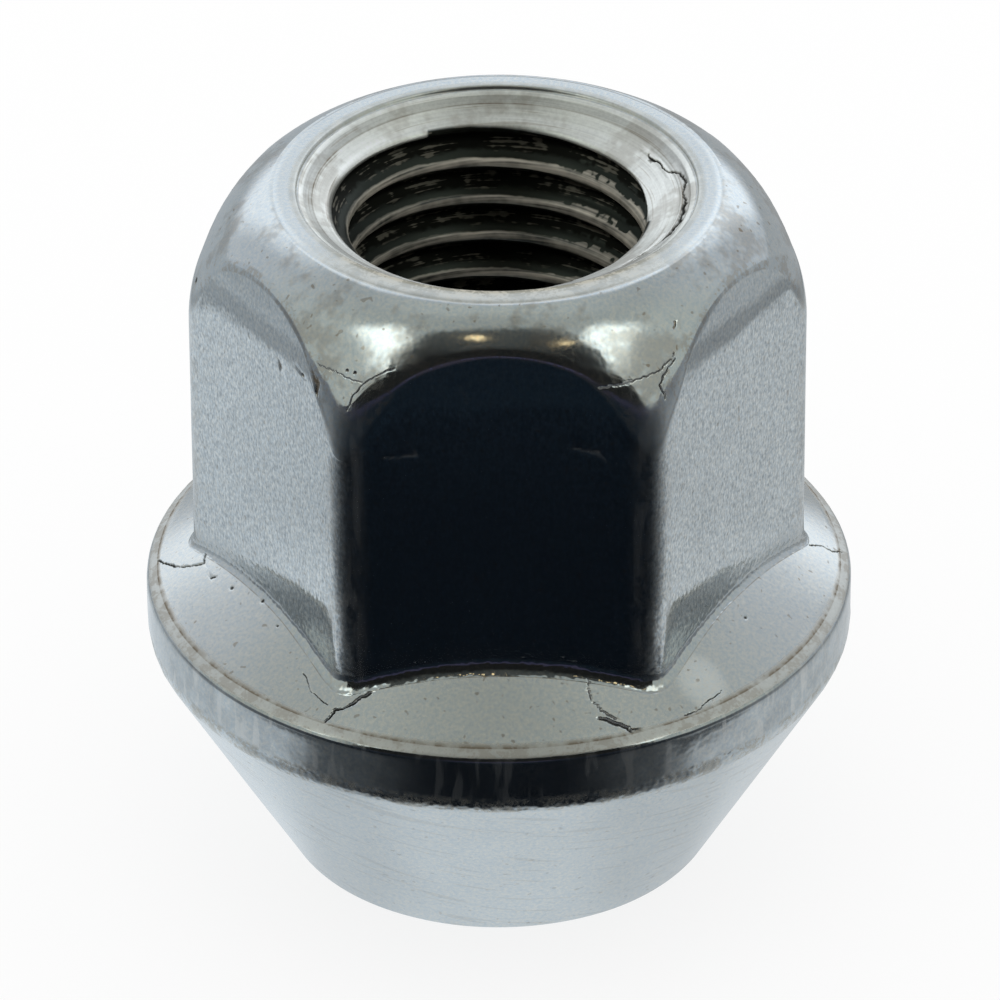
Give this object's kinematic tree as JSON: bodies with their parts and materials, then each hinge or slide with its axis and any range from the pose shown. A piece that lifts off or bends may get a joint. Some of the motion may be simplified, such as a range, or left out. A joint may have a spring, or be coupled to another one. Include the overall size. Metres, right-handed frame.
{
  "type": "lug nut",
  "caption": "Open-ended zinc-plated wheel lug nut: hexagon with a rounded crown on a fixed collar with a taper seat, threaded through to clamp a road wheel on its stud.",
  "frame": {"origin": "centre of the foot, the flat ring at the small end of the taper seat", "axes": "+Z along the thread from the seat to the crown; -Y square to a flat of the hexagon; +X towards an upright edge"},
  "size_m": [0.025, 0.025, 0.026],
  "materials": {
    "zinc_plate": "satin zinc plate, clear passivated, over forged steel"
  },
  "bodies": {
    "root": {"lug_nut": "zinc_plate"}
  },
  "joints": []
}
